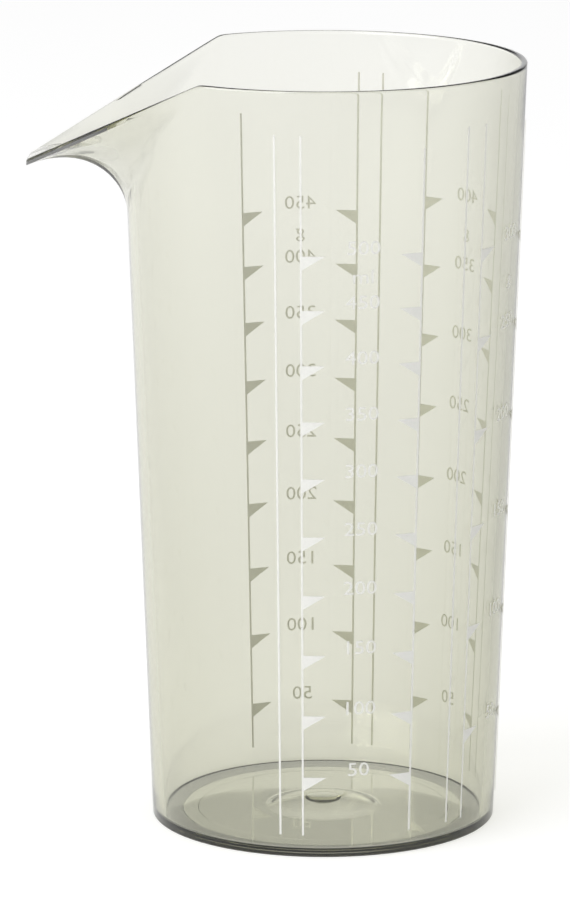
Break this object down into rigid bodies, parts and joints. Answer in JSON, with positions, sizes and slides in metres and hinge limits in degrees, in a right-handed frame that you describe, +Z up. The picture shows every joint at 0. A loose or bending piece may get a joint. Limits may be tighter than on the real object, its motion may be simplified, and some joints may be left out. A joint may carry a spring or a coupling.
{
  "type": "measuring jug",
  "caption": "Tapered see-through beaker with a long drooping pouring beak, a shallow foot ring and printed measuring scales round the wall.",
  "frame": {"origin": "middle of the footprint on the surface that the jug stands on, halfway between the tip of the beak and the far side of the rim; the beaker's own axis stands 9.65 mm from it towards +X", "axes": "+Z up the beaker, -X the way the beak points, the beak's middle plane in XZ"},
  "size_m": [0.1018, 0.0826, 0.158],
  "materials": {
    "tinted_plastic": "gloss",
    "printed_ink": "satin"
  },
  "bodies": {
    "root": {"jug_body": "tinted_plastic", "water_scale_edge_stroke": "printed_ink", "water_scale_right_flags": "printed_ink", "water_scale_left_flags": "printed_ink", "flour_scale_edge_stroke": "printed_ink", "flour_scale_right_flags": "printed_ink", "flour_scale_left_flags": "printed_ink", "grain_scale_edge_stroke": "printed_ink", "grain_scale_right_flags": "printed_ink", "grain_scale_left_flags": "printed_ink", "sugar_scale_edge_stroke": "printed_ink", "sugar_scale_right_flags": "printed_ink", "sugar_scale_left_flags": "printed_ink"}
  },
  "joints": []
}
